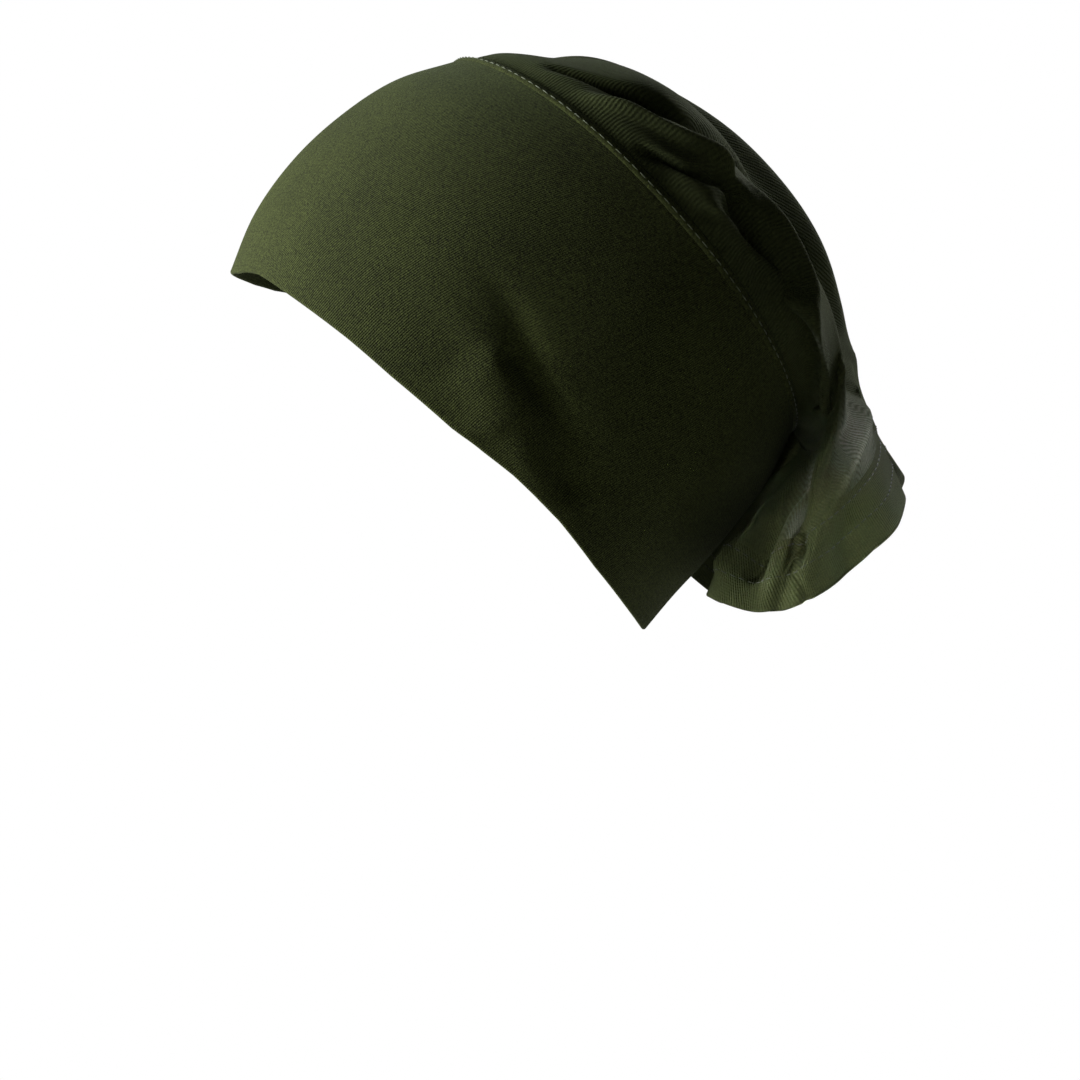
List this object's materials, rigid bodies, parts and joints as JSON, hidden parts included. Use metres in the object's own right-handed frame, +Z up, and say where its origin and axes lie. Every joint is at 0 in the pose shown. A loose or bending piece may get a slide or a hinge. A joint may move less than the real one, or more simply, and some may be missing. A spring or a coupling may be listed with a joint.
{
  "type": "hijab underscarf cap",
  "caption": "Soft jersey underscarf cap in its worn form: a snug folded band round the face, a topstitched seam over the crown and a slack ridged tube falling behind the head to a turned hem.",
  "frame": {"origin": "inside the top of the crown, on the mid-line at the join seam, where the cap sits on a head", "axes": "+X to the back of the head, -Y to the wearer's left, +Z up"},
  "size_m": [0.2199, 0.154, 0.1866],
  "materials": {
    "band_jersey": "matte knit",
    "seam_jersey": "matte knit",
    "tube_jersey": "matte knit",
    "hem_jersey": "matte knit"
  },
  "bodies": {
    "root": {"front_band": "band_jersey", "join_seam": "seam_jersey", "tail_tube": "tube_jersey", "tail_hem": "hem_jersey"}
  },
  "joints": []
}
